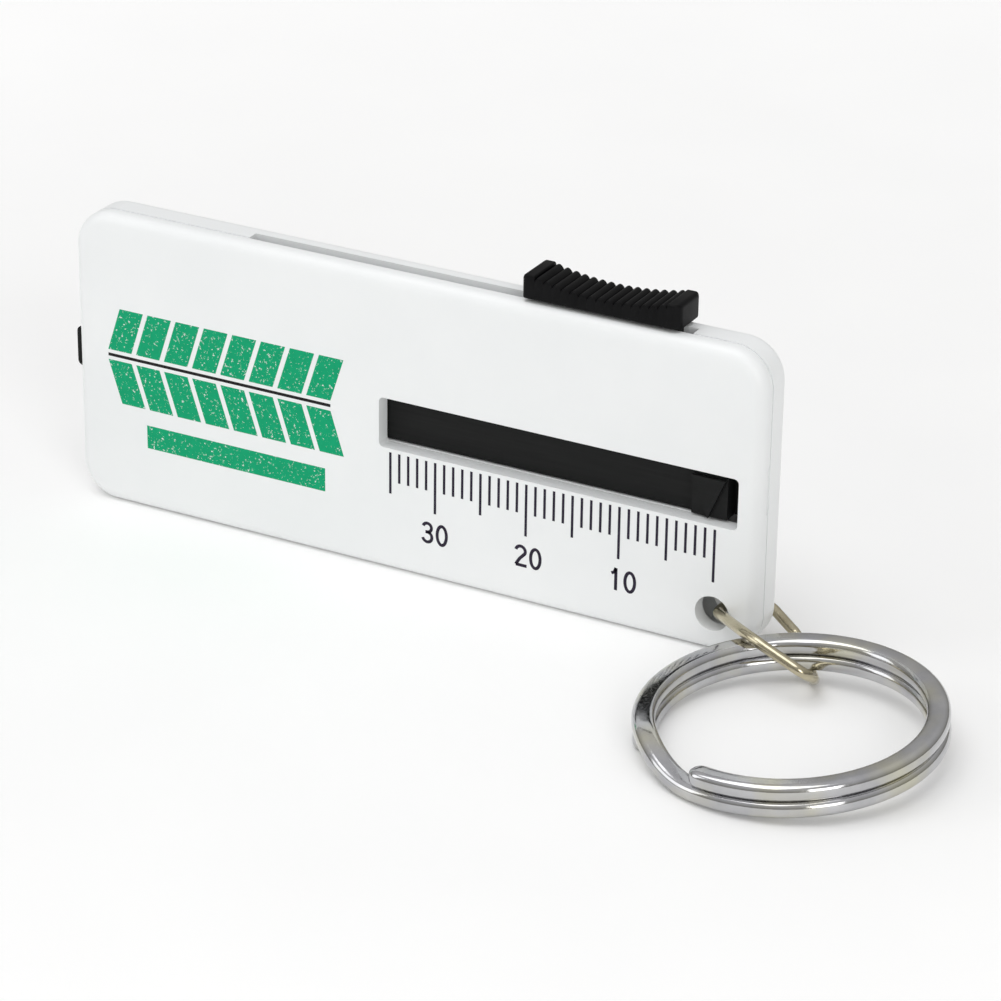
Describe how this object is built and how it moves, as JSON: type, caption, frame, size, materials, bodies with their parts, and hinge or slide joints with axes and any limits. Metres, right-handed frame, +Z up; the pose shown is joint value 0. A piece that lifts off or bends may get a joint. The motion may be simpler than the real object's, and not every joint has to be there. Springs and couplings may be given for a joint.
{
  "type": "tyre tread depth gauge keyring",
  "caption": "Flat two-part case with a scale and window, a sliding probe with a thumb pad and pointer, and a split ring on a wire link.",
  "frame": {"origin": "middle of the long bottom edge face that the case stands on", "axes": "+X along the case towards the key ring, -Y out of the face with the scale, +Z up"},
  "size_m": [0.1015, 0.0347, 0.0341],
  "materials": {
    "white_plastic": "satin moulded",
    "black_plastic": "fine matt moulded",
    "pad_plastic": "matt moulded, ribbed",
    "spring_steel": "plain rolled strip",
    "nickel_wire": "bright nickel plate, slightly warm",
    "ring_steel": "bright plated"
  },
  "bodies": {
    "case": {"front_cover": "white_plastic", "rear_cover": "white_plastic"},
    "slide": {"probe_bar": "black_plastic", "carrier": "black_plastic", "thumb_pad": "pad_plastic", "friction_spring": "spring_steel"},
    "link": {"wire_link": "nickel_wire"},
    "ring": {"split_ring": "ring_steel"}
  },
  "joints": [
    {"name": "probe_slide", "type": "slide", "parent": "case", "child": "slide", "axis": [-1, 0, 0], "range_m": [-0.0012, 0.0331]},
    {"name": "link_swing", "type": "hinge", "parent": "case", "child": "link", "pos_m": [0.03341, 0, 0.00402], "axis": [0, 1, 0], "range_deg": [-45, 95]},
    {"name": "ring_swing", "type": "hinge", "parent": "link", "child": "ring", "pos_m": [0.04186, -0.0049, 0.00318], "axis": [-0.8801, -0.4688, -0.0753], "range_deg": [-75, 55]}
  ]
}
